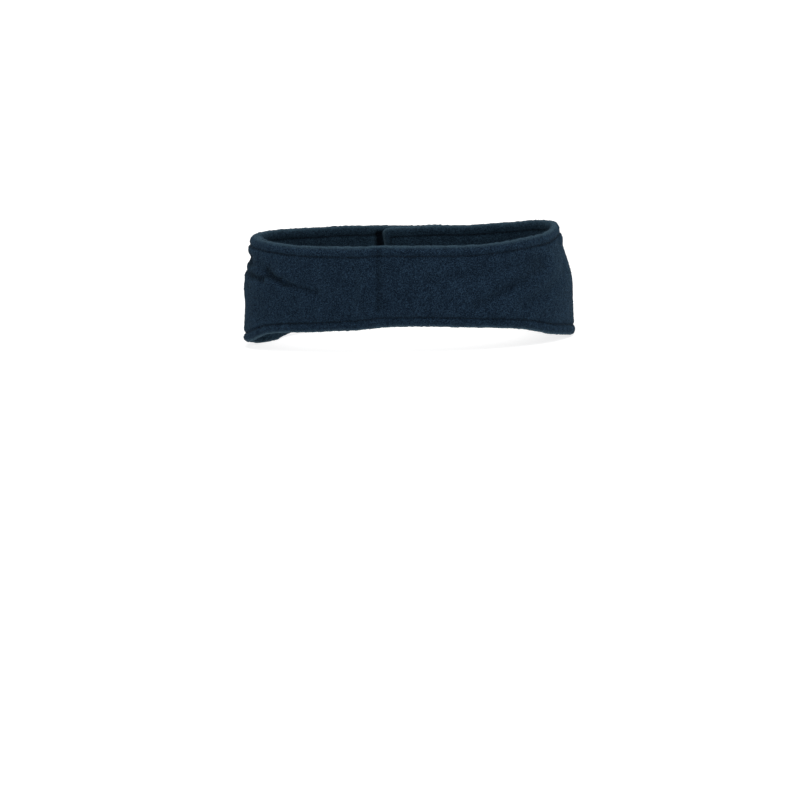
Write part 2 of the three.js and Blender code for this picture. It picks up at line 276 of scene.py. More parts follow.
FOLDS = [  # from s, w to s, w, then the depth (inward) and the half width
    ((-157, 17.5), (-128, 17), 3.7, 4.4),
    ((-128, 17), (-104, 19), 1.6, 5),
    ((-144, 24.5), (-111, 28.5), 2.7, 3.2),
    ((-150, 31.5), (-128, 34), 1.3, 4.5),
    ((-107, 23.5), (-94, 27.5), 2.8, 3.6),
    ((-94, 27.5), (-68, 31.5), 2.2, 3.4),
    ((-39, 24), (-46, 46), 1.5, 4),
    ((-35, 4), (-34, 40), -1.6, 5),
    ((-24, 5), (-26, 42), 2.4, 4.4),
    ((-16, 6), (-20, 46), 1, 6),
    ((11, 22), (91, 16), 1.6, 5.5),
    ((42, 41), (96, 20), 2.2, 5.5),
    ((76, 44), (121, 28), 1.8, 5.5),
    ((130, 10.5), (152, 10.5), -1.8, 4.2),
]
HOLLOWS = [  # the middle's s and w, the length, the height and the depth (inward)
    (-160, 84, 15, 22, 9.5),
    (122, 76, 11, 14, -1),
]
BUNCHED_LINING = [(-130, 5, 24, 5.5, 4)]  # the roll of lining inside the -X end of the rim

# Where the tape is sewn on
TAPE_THICKNESS = 0.9
SEAT_GAP = 0.3
LOOP_TAPE = {"length": 19.5, "height": 33, "from_rim": 15.5}
LOOP_PATCHES = {
    "loop_patch_1": {"from_end": 8.9, **LOOP_TAPE},
    "loop_patch_2": {"from_end": 40.5, **LOOP_TAPE},
    "loop_patch_3": {"from_end": 75.2, **LOOP_TAPE},
}
HOOK_PATCHES = {
    "hook_patch": {"from_end": 13.4, "length": 18.4, "height": 39, "from_rim": 12.5},
}
BOX_STITCH_INSET = 1.4
BOX_STITCH_DEPTH = 0.9
BOX_STITCH_WIDTH = 1.0

# The soft unevenness of the cloth and its pile
STIFF_REACH = 22
WAVES = [  # a cell's length and height, how far it moves the cloth, and its seed
    (34, 26, 0.7, 11),
    (13, 11, 0.22, 12),
]
PUCKERS = {"along": 5.5, "reach": 5, "depth": 0.3, "seed": 13}
HEM_PUCKERS_FROM = 3 / 7  # the hem's puckers start this far along the random values
NUBS = [  # the pile's own lumps: their size, height and seed
    (1.7, 0.13, 21),
    (1.15, 0.18, 22),
]
NUB_TURNS = (0.5, 2.2)
NUBS_AT_EDGE = 0.35
NUB_FADE = 1.5
EDGE_NUBS = {"size": 2.1, "height": 0.36, "reach": 3, "seed": 31}

# The pile's colours, with a painted highlight along the turned edge and painted shade in seams and
# folds
# Painted highlight: its width along the turned edge, and how much stronger it is on the hem
EDGE_HIGHLIGHT_WIDTH = 1.2
HEM_HIGHLIGHT = 1.5
# Painted shade: in the seam's groove, the folds, the box stitching and the slot by the inner
# flap's end
SEAM_SHADE_WIDTH = 0.7
SHALLOW_FOLD = 0.8
DEEP_FOLD = 3
SLOT = {"s": -255.3, "width": 4.6, "power": 4, "from_rim": 2.5}
SEAM_SHADE = {"middle": 0.5, "more": 0.25, "from": 40, "over": 60}
FOLD_SHADE = {"middle": 0.5, "more": 0.42, "from": 60, "over": 50}
BOX_STITCH_SHADE = 0.5
SLOT_SHADE = 1.33
PILE_GRAINS = [  # of tufts, curls and fibres: scale, roughness, how they shade and stand up
    (1100.0, 0.6, 2.4, 1),
    (2100.0, 0.6, 2.4, 0.5),
    (3600.0, 0.7, 1.3, 0.2),
]
RELIEF_DEPTH = 0.0007
MOTTLE_SCALE, MOTTLE_SHADE, MEAN_SHADE = 120.0, 0.5, 0.5
# How much painted highlight and painted shade are mixed into the pile's colour
EDGE_HIGHLIGHT_MIX, EDGE_HIGHLIGHT_SPECKLE, CREASE_SHADE_MIX = 0.62, 0.35, 0.75
FLEECE_FINISH = {"roughness": 0.95, "gloss": 0.04, "sheen": 0.11, "sheen_roughness": 0.45}
SHEEN_TINT = (0.22, 0.44, 0.62)
OUTER_DARK, OUTER_LIGHT = (0.0022, 0.0062, 0.0136), (0.0190, 0.0400, 0.0690)
# The lining's colours are the outer fleece's made lighter: painted light for the shaded inside of
# the band
LINING_DARK, LINING_LIGHT = (0.0032, 0.0085, 0.0152), (0.0195, 0.0410, 0.0640)
# The colours of the painted highlight and of the painted shade
EDGE_HIGHLIGHT_COLOUR = (0.0420, 0.0740, 0.0980)
CREASE_SHADE_COLOUR = (0.0010, 0.0026, 0.0050)

# How fine the meshes are, and where their rows lie
END_STATIONS = (0, 0.12, 0.4, 0.85, 1.5, 2.3, 3.2, 3.9, 4.5, 5.1, 5.7, 6.4, 7.2, 8, 9, 10, 11)
EDGE_ROWS = (0, 0.12, 0.4, 0.85, 1.5, 2.3, 3.2, 4, 4.8, 5.5, 6.1, 6.7, 7.3, 7.9, 8.6, 9.4)
HIDDEN_ROWS = (0, 6, 12, 15)
LAYER_MESH = {1: (0.78, 60), -1: (0.9, 50)}  # the stations' distance and the middle rows
LAP_START = 4
SWELL_REACH = 8
TAPE_CLEAR = 2
PILE_CLEARANCE = 0.15
OVAL_STEPS = 1440
OVAL_TRIES = 40
NORMAL_REACH = 1.5
LATTICE = 1024
BOX_STATIONS, BOX_ROWS = 600, 40
AREA_STATIONS = 2001

HALF_STRIP = STRIP_LENGTH / 2
PERIMETER = STRIP_LENGTH - OVERLAP
LAID = HALF_STRIP - OVERLAP
LAYER_NEAR = LAYER_GAP / 2
LAYER_FAR = LAYER_NEAR + FLEECE_THICKNESS
TAPE_NEAR = LAYER_FAR + SEAT_GAP
TAPE_FAR = TAPE_NEAR + TAPE_THICKNESS
CLOSURE_THICKNESS = 2 * TAPE_FAR + SEAT_GAP


def ease(t):
    """From 0 to 1 as t goes from 0 to 1, flat at both ends."""
    t = np.clip(t, 0, 1)
    return t * t * (3 - 2 * t)


def fade(distance, width):
    """1 at no distance, dying away over about this width on either side."""
    return np.exp(-((distance / width) ** 2))


def height_in(table, place):
    """The height at a place on the smooth curve through the rows of a table."""
    at = np.array(list(table), float)
    height = np.array(list(table.values()), float)
    slope = np.zeros(len(at))
    slope[1:-1] = (height[2:] - height[:-2]) / (at[2:] - at[:-2])
    slope[-1] = (height[-1] - height[-2]) / (at[-1] - at[-2])
    row = np.clip(np.searchsorted(at, place, side="right") - 1, 0, len(at) - 2)
    span = at[row + 1] - at[row]
    t = (place - at[row]) / span
    line = height[row] + (height[row + 1] - height[row]) * ease(t)
    return line + t * (t - 1) * span * ((t - 1) * slope[row] + t * slope[row + 1])


def strip_height(s):
    return height_in(STRIP_HEIGHTS, np.abs(s))


def hem_height(s):
    """The height of the lower edge, which lies on the table where the strip is tall enough."""
    height = height_in(RIM_HEIGHTS, s) - strip_height(s)
    for at, lift, width in HEM_LIFTS:
        height = height + lift * fade(s - at, width)
    return height


def oval_path(half_depth):
    """The closed loop seen from above: x, y and the distance along it from the +X bend."""
    turned = np.linspace(0, 2 * math.pi, OVAL_STEPS + 1)
    power = 2 / SQUARENESS
    across, deep = [np.sign(v) * np.abs(v) ** power for v in (np.cos(turned), np.sin(turned))]
    x = HALF_WIDTH * across
    y = half_depth * deep * (1 + SKEW * across)
    along = np.concatenate(([0], np.cumsum(np.hypot(np.diff(x), np.diff(y)))))
    return x, y, along


shallow, deep = HALF_WIDTH / 4, HALF_WIDTH
for _ in range(OVAL_TRIES):
    half_depth = (shallow + deep) / 2
    if oval_path(half_depth)[2][-1] < PERIMETER:
        shallow = half_depth
    else:
        deep = half_depth
OVAL_X, OVAL_Y, OVAL_ALONG = oval_path(half_depth)


def oval_point(s):
    along = np.mod(s - RIGHT_BEND, OVAL_ALONG[-1])
    return np.interp(along, OVAL_ALONG, OVAL_X), np.interp(along, OVAL_ALONG, OVAL_Y)


def outward_of(path, s):
    """The level outward direction at s of a path round the band."""
    before = path(s - NORMAL_REACH)
    after = path(s + NORMAL_REACH)
    x = after[1] - before[1]
    y = before[0] - after[0]
    length = np.hypot(x, y)
    return x / length, y / length


def by_bend(sizes, s):
    """A size that has its own value at each of the two bends."""
    side = oval_point(s)[0] / HALF_WIDTH
    left = (sizes["left"] - sizes["middle"]) * np.maximum(-side, 0) ** BEND_POWER
    right = (sizes["right"] - sizes["middle"]) * np.maximum(side, 0) ** BEND_POWER
    return sizes["middle"] + left + right


def flap_shift(s):
    """The outer flap steps out round the inner flap's end, and its lip leans back."""
    outer = ease((-s - LAID + OUTER_FLAP_RUN_IN) / OUTER_FLAP_RUN_IN)
    inner = ease((s - LAID + INNER_FLAP_RUN_IN) / INNER_FLAP_RUN_IN)
    lip = ease((-s - HALF_STRIP + LIP_LENGTH) / LIP_LENGTH)
    share = (1 - INNER_FLAP_SHARE) * outer - INNER_FLAP_SHARE * inner
    return CLOSURE_THICKNESS * share - LIP_PRESS * lip


def fold_depth(s, w):
    depth = np.zeros(np.broadcast(s, w).shape)
    for (s1, w1), (s2, w2), fold, width in FOLDS:
        ds, dw = s2 - s1, w2 - w1
        near = np.clip(((s - s1) * ds + (w - w1) * dw) / (ds * ds + dw * dw), 0, 1)
        off = np.hypot(s - s1 - near * ds, w - w1 - near * dw)
        depth += fold * fade(off, width)
    return depth


def hollow_depth(hollows, s, w):
    """The depth at s, w of broad round hollows or bulges."""
    depth = np.zeros(np.broadcast(s, w).shape)
    for middle_s, middle_w, length, height, most in hollows:
        along = (s - middle_s) / length
        down = (w - middle_w) / height
        depth += most * np.exp(-(along ** 2) - down ** 2)
    return depth


def cloud(s, w, along, down, seed):
    """Smooth random values from -1 to 1 that change over a cell of this length and height."""
    values = np.random.default_rng(seed).uniform(-1, 1, (LATTICE, LATTICE))
    column, row = np.floor(s / along), np.floor(w / down)
    right, under = ease(s / along - column), ease(w / down - row)
    column = column.astype(int) % LATTICE
    row = row.astype(int) % LATTICE
    next_column = (column + 1) % LATTICE
    next_row = (row + 1) % LATTICE
    upper = values[column, row] * (1 - right) + values[next_column, row] * right
    lower = values[column, next_row] * (1 - right) + values[next_column, next_row] * right
    return upper * (1 - under) + lower * under


def unevenness(s, w):
    """The soft waves of the whole band, and the puckers that the stitching pulls in its edges.
    They die out towards the closure, where tape stiffens the band."""
    free = 1 - ease((np.abs(s) - LAID + STIFF_REACH) / STIFF_REACH)
    height = strip_height(s)
    off = np.zeros(np.broadcast(s, w).shape)
    for along, down, most, seed in WAVES:
        off += most * cloud(s, w, along, down, seed)
    from_edge = np.minimum(w, height - w)
    strength = fade(from_edge - STITCH_FROM_RIM, PUCKERS["reach"])
    skipped = np.where(w > height / 2, PUCKERS["along"] * LATTICE * HEM_PUCKERS_FROM, 0)
    pucker = cloud(s + skipped, w * 0, PUCKERS["along"], 1, PUCKERS["seed"])
    return (off + PUCKERS["depth"] * pucker * strength) * free


def end_hollow(s, w):
    """The strip's two ends are slightly hollow between their corners, and the inner one is cut
    a little shorter."""
    half_height = strip_height(s) / 2
    depth = END_HOLLOW * (1 - ((w - half_height) / half_height) ** 2)
    near = ease((np.abs(s) - HALF_STRIP + HOLLOW_REACH) / HOLLOW_REACH)
    cut = INNER_END_CUT * ease((s - HALF_STRIP + CUT_REACH) / CUT_REACH)
    return np.sign(s) * depth * near + cut


def middle_point(s, w):
    """The place between the two layers at s, w, seen from above."""
    along = s - end_hollow(s, w)
    x, y = oval_point(along)
    outward = outward_of(oval_point, along)
    drawn = by_bend(RIM_DRAWN_IN, s) * (1 - ease(w / by_bend(DRAW_REACH, s)))
    drawn = drawn + by_bend(RIM_LEAN, s) * (1 - ease(w / LEAN_REACH))
    reach = by_bend(HEM_REACH, s)
    tucked = by_bend(HEM_TUCK, s) * ease((w - strip_height(s) + reach) / reach)
    pressed = fold_depth(s, w) + hollow_depth(HOLLOWS, s, w)
    off = flap_shift(s) - drawn - tucked - pressed + unevenness(s, w)
    return x + outward[0] * off, y + outward[1] * off


def outside_box(x, y):
    """The distance to a box from a place this far past its sides, negative inside it."""
    return np.hypot(np.maximum(x, 0), np.maximum(y, 0)) + np.minimum(np.maximum(x, y), 0)


def inside_outline(s, w, from_end=0, from_rim=0, radius=CORNER_RADIUS):
    """The distance from s, w to the strip's outline, or to one further in, positive inside."""
    half_height = strip_height(s) / 2
    x = np.abs(s) - (HALF_STRIP - from_end - radius)
    y = np.abs(w - half_height) - (half_height - from_rim - radius)
    return radius - outside_box(x, y)


def stitch_line(s, w):
    """The distance from s, w to the topstitching round the band."""
    radius = CORNER_RADIUS - STITCH_FROM_END
    return inside_outline(s, w, STITCH_FROM_END, STITCH_FROM_RIM, radius)


def patch_middle(patch, end):
    """The place s, w of the middle of a patch at the +s end or at the -s end."""
    s = end * (HALF_STRIP - patch["from_end"] - patch["length"] / 2)
    return s, patch["from_rim"] + patch["height"] / 2


def outside_patch(patch, end, s, w, inset=0):
    """The distance from s, w to a patch's outline moved inward, negative inside it."""
    middle_s, middle_w = patch_middle(patch, end)
    x = np.abs(s - middle_s) - patch["length"] / 2 + inset
    y = np.abs(w - middle_w) - patch["height"] / 2 + inset
    return outside_box(x, y)


ALL_PATCHES = [(patch, 1) for patch in LOOP_PATCHES.values()]
ALL_PATCHES += [(patch, -1) for patch in HOOK_PATCHES.values()]


def in_lap(s, side):
    """From 0 to 1, how far into the lap of the two flaps a place on a layer is."""
    return ease((side * s - LAID - LAP_START) / LAP_START)


def face_distance(s, w, side):
    """How far a layer's face stands from between the layers. side is 1 for the outer layer and
    -1 for the lining. Where the flaps lap, the pile round the tape fills the space."""
    squashed = np.where(w > strip_height(s) / 2, ease(-hem_height(s) / SQUASH_DEPTH), 0)
    edge = EDGE_THICKNESS + (RESTING_EDGE - EDGE_THICKNESS) * squashed
    inside = inside_outline(s, w)
    roll = 1 - np.clip(inside / EDGE_ROLL, 0, 1)
    full = edge + (FLEECE_THICKNESS - edge) * np.sqrt(1 - roll * roll)
    full += WELT["rise"] * fade(inside - WELT["from_edge"], WELT["width"])
    full -= STITCH_DEPTH * fade(stitch_line(s, w), STITCH_WIDTH)
    if side < 0:
        full += hollow_depth(BUNCHED_LINING, s, w) * np.clip(inside, 0, 1)
    beside_tape = np.ones(np.broadcast(s, w).shape)
    for patch, end in ALL_PATCHES:
        line = outside_patch(patch, end, s, w, BOX_STITCH_INSET)
        if end != side:
            full -= BOX_STITCH_DEPTH * fade(line, BOX_STITCH_WIDTH)
        else:
            beside_tape *= ease((line - BOX_STITCH_INSET) / TAPE_CLEAR)
    on_outer_flap = s - PERIMETER if side > 0 else s
    on_inner_flap = on_outer_flap + PERIMETER
    space = flap_shift(on_outer_flap) - flap_shift(on_inner_flap) - 2 * LAYER_FAR
    swell = np.maximum(space / 2 - PILE_CLEARANCE, 0) * in_lap(s, side) * beside_tape
    return near_distance(s, w) + full + swell * ease(inside / SWELL_REACH)


def near_distance(s, w):
    """How far a layer's hidden face is from between the layers: they meet at the edge seam."""
    inside = inside_outline(s, w)
    return SEAM_GAP + (LAYER_NEAR - SEAM_GAP) * ease(inside / EDGE_ROLL)


def place_on_band(s, w, out):
    """The point of the closed band at s, w and a level distance out from between its layers,
    in metres, in the frame of the solids."""
    top = height_in(RIM_HEIGHTS, s)
    bottom = np.maximum(hem_height(s), 0)
    x, y = middle_point(s, w)
    outward = outward_of(lambda at: middle_point(at, w), s)
    z = top - (w / strip_height(s)) * (top - bottom)
    point = np.stack([x + outward[0] * out, y + outward[1] * out, z + 0 * x], axis=-1)
    return point * MM + ORIGIN_SHIFT


def layer_grid(step, middle_rows):
    """The stations and rows of a fleece layer as s and w, close together at its edges."""
    ends = np.array(END_STATIONS)
    count = round((STRIP_LENGTH - 2 * ends[-1]) / step)
    between = np.linspace(ends[-1] - HALF_STRIP, HALF_STRIP - ends[-1], count + 1)[1:-1]
    stations = np.concatenate((ends - HALF_STRIP, between, (HALF_STRIP - ends)[::-1]))
    past = np.maximum(np.abs(stations) - HALF_STRIP + CORNER_RADIUS, 0)
    drop = (CORNER_RADIUS - np.sqrt(CORNER_RADIUS ** 2 - past ** 2))[:, None]
    height = strip_height(stations)[:, None]
    upper = drop + np.array(EDGE_ROWS)[None, :]
    share = np.arange(1, middle_rows + 1)[None, :] / (middle_rows + 1)
    lower = height - upper[:, ::-1]
    middle = upper[:, -1:] + (lower[:, :1] - upper[:, -1:]) * share
    w = np.concatenate((upper, middle, lower), axis=1)
    return np.repeat(stations[:, None], w.shape[1], axis=1), w


def unit(directions):
    return directions / np.linalg.norm(directions, axis=-1, keepdims=True)


def outward_normals(grid, side):
    """The unit normals of a grid of points, away from the other layer."""
    return unit(np.cross(np.gradient(grid, axis=1), np.gradient(grid, axis=0)) * side)


def quads(a, b, c, d):
    """Four-cornered faces, from the numbers of their corners."""
    return np.stack([corner.reshape(-1) for corner in (a, b, c, d)], axis=-1).tolist()


def grid_quads(grid):
    """The faces between the neighbours in a grid of point numbers."""
    return quads(grid[:-1, :-1], grid[:-1, 1:], grid[1:, 1:], grid[1:, :-1])


def closed_sheet(face, hidden, hidden_rows, side):
    """The points and faces of a closed sheet. Its hidden face has only some of the rows."""
    stations, rows = face.shape[:2]
    kept = len(hidden_rows)
    points = np.concatenate((face.reshape(-1, 3), hidden.reshape(-1, 3)))
    shown = np.arange(stations * rows).reshape(stations, rows)
    unseen = stations * rows + np.arange(stations * kept).reshape(stations, kept)
    faces = grid_quads(shown)
    faces += quads(unseen[:-1, :-1], unseen[1:, :-1], unseen[1:, 1:], unseen[:-1, 1:])
    faces += quads(shown[:-1, 0], shown[1:, 0], unseen[1:, 0], unseen[:-1, 0])
    faces += quads(shown[1:, -1], shown[:-1, -1], unseen[:-1, -1], unseen[1:, -1])
    for k, (first, last) in enumerate(zip(hidden_rows[:-1], hidden_rows[1:])):
        run = list(range(first, last + 1))
        faces.append([*shown[-1, run].tolist(), int(unseen[-1, k + 1]), int(unseen[-1, k])])
        faces.append([*shown[0, run[::-1]].tolist(), int(unseen[0, k]), int(unseen[0, k + 1])])
    if side < 0:
        faces = [face[::-1] for face in faces]
    return points, faces


def relief(nodes, height, depth, strength):
    """The dents and lumps of a surface, as a normal for its shader."""
    values = {"Strength": strength, "Distance": depth, "Height": height}
    return nodes.node("ShaderNodeBump", sockets=values)


def soft_surface(nodes, colour, normal, roughness, gloss, sheen, sheen_roughness=0.5):
    """The end of a finish: a dull surface with a bluish sheen."""
    values = {
        "Base Color": colour,
        "Normal": normal,
        "Roughness": roughness,
        "Specular IOR Level": gloss,
        "Sheen Weight": sheen,
        "Sheen Roughness": sheen_roughness,
        "Sheen Tint": (*SHEEN_TINT, 1),
    }
    surface(nodes, values)


def painted(nodes, name, output="Fac"):
    """A named attribute of the mesh, in its finish."""
    return nodes.node("ShaderNodeAttribute", {"attribute_name": name}, output=output)


def fleece_finish(name, dark, light):
    """Short matt pile: mottled at the size of its tufts, rough, with a soft sheen. A painted
    highlight lightens its turned edge, and painted shade darkens it down in a seam or fold."""
    nodes, material = finish_of(name)
    place = own_place(nodes)
    speckle, height = 0, 0
    for scale, roughness, shading, standing in PILE_GRAINS:
        grain = noise(nodes, place, scale, roughness=roughness)
        speckle += (grain - 0.5) * shading
        height += grain * standing
    mottle = noise(nodes, place, MOTTLE_SCALE) - 0.5
    shade = (speckle + mottle * MOTTLE_SHADE + MEAN_SHADE).at_least(0)
    colour = blend(nodes, shade * shade, dark, light)
    # Painted highlight along the turned edge, mottled with the speckle
    edge_highlight = painted(nodes, "edge_highlight") * (speckle * EDGE_HIGHLIGHT_SPECKLE + EDGE_HIGHLIGHT_MIX)
    colour = blend(nodes, edge_highlight, colour, EDGE_HIGHLIGHT_COLOUR)
    # Painted shade in the seams, folds, box stitching and slot
    colour = blend(nodes, painted(nodes, "crease_shade") * CREASE_SHADE_MIX, colour, CREASE_SHADE_COLOUR)
    normal = relief(nodes, height, RELIEF_DEPTH, strength=1.0)
    soft_surface(nodes, colour, normal, **FLEECE_FINISH)
    return material


# The band's own box gives the place of its origin in the frame of the solids.
ORIGIN_SHIFT = np.zeros(3)
rim_line = np.linspace(-HALF_STRIP, HALF_STRIP, BOX_STATIONS)[:, None]
drop_line = np.linspace(0, 1, BOX_ROWS)[None, :] * strip_height(rim_line)
outer_face = place_on_band(rim_line + 0 * drop_line, drop_line, LAYER_FAR)
low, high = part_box("outer_layer")
ORIGIN_SHIFT = (np.array(low) + np.array(high)) / 2
ORIGIN_SHIFT -= (outer_face.min(axis=(0, 1)) + outer_face.max(axis=(0, 1))) / 2
ORIGIN_SHIFT[2] = 0

cut = np.linspace(-HALF_STRIP, HALF_STRIP, AREA_STATIONS)
corners_cut_off = (4 - math.pi) * CORNER_RADIUS ** 2
FLAT_AREA = (strip_height(cut).mean() * STRIP_LENGTH - corners_cut_off) * MM ** 2


def in_slot(s, w):
    """From 0 to 1, how deep a place is in the narrow slot beside the inner flap's end, which gets
    painted shadow.
    """
    across = np.exp(-(((s - SLOT["s"]) / SLOT["width"]) ** SLOT["power"]))
    return across * ease((w - SLOT["from_rim"]) / SLOT["from_rim"])


def pile_lumps(s, down, inside, side):
    """The pile's lumps: small ones all over, and larger ones along the strip's edge."""
    lumps = np.zeros(s.shape)
    for size, height, seed in NUBS:
        for turned in NUB_TURNS:
            across = s * math.cos(turned) - down * math.sin(turned)
            over = s * math.sin(turned) + down * math.cos(turned)
            own_seed = seed + int(10 * turned) + 50 * (side + 1)
            lumps += height * cloud(across, over, size, size, own_seed)
    lumps *= NUBS_AT_EDGE + (1 - NUBS_AT_EDGE) * ease(inside / NUB_FADE)
    size, seed = EDGE_NUBS["size"], EDGE_NUBS["seed"] + side
    edge_lumps = EDGE_NUBS["height"] * cloud(s, down, size, size, seed)
    return lumps + edge_lumps * fade(inside, EDGE_NUBS["reach"])


def shade_along(shade, distance):
    """How much painted shade a seam or a fold gets at a distance from the strip's middle."""
    return shade["middle"] + shade["more"] * ease((distance - shade["from"]) / shade["over"])


def painted_shade(s, w, side):
    """How much painted shade darkens the cloth down in its seam and folds, in the box stitching
    that comes through from the other face, and in the slot."""
    seam = shade_along(SEAM_SHADE, np.abs(s)) * fade(stitch_line(s, w), SEAM_SHADE_WIDTH)
    folded = ease((fold_depth(s, w) - SHALLOW_FOLD) / (DEEP_FOLD - SHALLOW_FOLD))
    dark = np.maximum(seam, shade_along(FOLD_SHADE, -s) * folded)
    for patch, end in ALL_PATCHES:
        if end != side:
            line = outside_patch(patch, end, s, w, BOX_STITCH_INSET)
            dark = np.maximum(dark, BOX_STITCH_SHADE * fade(line, BOX_STITCH_WIDTH))
    # Painted shadow in the slot beside the inner flap's end
    if side < 0:
        dark = np.maximum(dark, SLOT_SHADE * in_slot(s, w))
    return dark


def fleece_layer(name, node, side, material):
    """One layer of fleece, with its lumpy pile on the side that shows."""
    s, w = layer_grid(*LAYER_MESH[side])
    face = place_on_band(s, w, side * face_distance(s, w, side))
    normal = outward_normals(face, side)
    down = np.linalg.norm(np.diff(face, axis=1), axis=-1) / MM
    down = np.concatenate((np.zeros((len(s), 1)), np.cumsum(down, axis=1)), axis=1)
    inside = inside_outline(s, w)
    face = face + normal * (pile_lumps(s, down, inside, side) * MM)[..., None]
    face[..., 2] = np.maximum(face[..., 2], 0)
    rows = s.shape[1]
    kept = sorted({*HIDDEN_ROWS, rows // 3, 2 * rows // 3, *(rows - 1 - k for k in HIDDEN_ROWS)})
    under = s[:, kept], w[:, kept]
    hidden = place_on_band(*under, side * near_distance(*under))
    points, faces = closed_sheet(face, hidden, kept, side)
    # Painted highlight along the strip's edge, stronger on the lower half along the hem
    edge_highlight = fade(inside, EDGE_HIGHLIGHT_WIDTH) * np.where(w > strip_height(s) / 2, HEM_HIGHLIGHT, 1)
    unseen = np.zeros(hidden[..., 0].size)
    # The painted shade of seams, folds, box stitching and slot goes into the mesh with the painted
    # highlight
    numbers = {
        "edge_highlight": np.concatenate((edge_highlight.ravel(), unseen)),
        "crease_shade": np.concatenate((painted_shade(s, w, side).ravel(), unseen)),
    }
    layer = mesh_piece(name, points.tolist(), faces, material, numbers)
    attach(layer, "root")
    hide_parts(node)
    return s, w, face


outer_fleece = fleece_finish("outer_fleece", OUTER_DARK, OUTER_LIGHT)
lining_fleece = fleece_finish("lining_fleece", LINING_DARK, LINING_LIGHT)
PILE_BEDS = {
    1: fleece_layer("fleece_outer", "outer_layer", 1, outer_fleece),
    -1: fleece_layer("fleece_lining", "inner_layer", -1, lining_fleece),
}


# The tape patches
# Woven nylon tape, cut to length and sewn on near the ends of the strip: three patches of
# brushed loops outside one end, and one patch of hooks inside the other, which catches them.
TAPE_SINK = 0.35
GROUND_HEIGHT = 0.55
TAPE_ROLL = 0.4
TAPE_STEP = 0.7
TAPE_EDGE = (0, 0.12, 0.35)
TAPE_EDGE_SINK = 0.1
STITCH_DENT = 0.25
STITCH_DENT_WIDTH = 0.5
ROOT_DEPTH = 0.05
NORMAL_STEP = 0.2
WEAVE_SCALE, LINT_SCALE, TWIST_SCALE = 0.62, 1.6, 5200.0
WEAVE_BEND, WEAVE_SHADE, LINT_SHADE, LINT_RELIEF = 0.6, 0.6, 0.5, 0.3
WEAVE_RELIEF_DEPTH, TWIST_RELIEF_DEPTH = 0.0003, 0.0001
TAPE_FINISH = {"roughness": 0.7, "gloss": 0.18, "sheen": 0.1}
LOOP_FINISH = {"roughness": 0.55, "gloss": 0.25, "sheen": 0.15}
HOOK_FINISH = {"roughness": 0.35, "gloss": 0.4, "sheen": 0}
LOOP_HEIGHT = 0.0007
LOOP_THREAD = 0.00005
LOOP_SHAPE = {"foot": 0.3, "belly": 0.75, "top": 1.3, "lean": 0.12}  # shares of its height
LOOP_SIZES = (0.7, 1.15)
LOOPS_PER_SQUARE_METRE = 2.2e6
LOOP_BED_INSET = 0.5
HOOK_HEIGHT = 0.0008
HOOK_THREAD = 0.00009
HOOK_SHAPE = (1.25, 0.8, 1.35, 0.6, 0.55)  # shares of its height, from its stem to its tip
HOOK_PITCH = {"along": 1.3, "down": 1.15}
TAPE_DARK, TAPE_LIGHT = (0.0040, 0.0075, 0.0135), (0.0190, 0.0290, 0.0430)
LOOP_COLOUR = (0.0150, 0.0235, 0.0360)
HOOK_COLOUR = (0.0100, 0.0150, 0.0235)


def tape_finish(name):
    """The plain weave of the tape's ground, from the piece's own place in mm along the strip."""
    nodes, material = finish_of(name)
    place = painted(nodes, "weave", "Vector")
    ribs = []
    for direction in ("X", "Y"):
        settings = {"wave_type": "BANDS", "bands_direction": direction, "wave_profile": "SIN"}
        values = {"Vector": place, "Scale": WEAVE_SCALE, "Distortion": WEAVE_BEND, "Detail": 1.0}
        ribs.append(nodes.node("ShaderNodeTexWave", settings, values, output="Fac"))
    lint = noise(nodes, place, LINT_SCALE, detail=3.0)
    weave = ribs[0] * ribs[1]
    shade = weave * WEAVE_SHADE + lint * LINT_SHADE
    height = weave + lint * LINT_RELIEF
    colour = blend(nodes, shade, TAPE_DARK, TAPE_LIGHT)
    normal = relief(nodes, height, WEAVE_RELIEF_DEPTH, strength=0.7)
    soft_surface(nodes, colour, normal, **TAPE_FINISH)
    return material


def thread_finish(name, colour, finish):
    """A plain thread or bristle, with the slight unevenness of its twist."""
    nodes, material = finish_of(name)
    twist = noise(nodes, own_place(nodes), TWIST_SCALE)
    normal = relief(nodes, twist, TWIST_RELIEF_DEPTH, strength=0.5)
    soft_surface(nodes, (*colour, 1), normal, **finish)
    return material


def new_tree(name, sizes):
    """A Geometry Nodes tree with a geometry in and out, and named inputs for its sizes."""
    tree = bpy.data.node_groups.new(name, "GeometryNodeTree")
    tree.interface.new_socket("Geometry", in_out="OUTPUT", socket_type="NodeSocketGeometry")
    kinds = {"Geometry": "Geometry", **dict.fromkeys(sizes, "Float")}
    kinds |= {"Seed": "Int", "Material": "Material"}
    for label, kind in kinds.items():
        tree.interface.new_socket(label, in_out="INPUT", socket_type=f"NodeSocket{kind}")
    nodes = Nodes(tree)
    return nodes, nodes.node("NodeGroupInput")


def vector(nodes, x, y, z):
    return nodes.node("ShaderNodeCombineXYZ", sockets={0: x, 1: y, 2: z})


def thread_along(nodes, curve, radius, sides):
    """A closed thread of this radius round a curve."""
    round_shape = {"Resolution": sides, "Radius": radius}
    ring = nodes.node("GeometryNodeCurvePrimitiveCircle", sockets=round_shape)
    ends = {"Curve": curve, "Profile Curve": ring, "Fill Caps": True}
    return nodes.node("GeometryNodeCurveToMesh", sockets=ends)


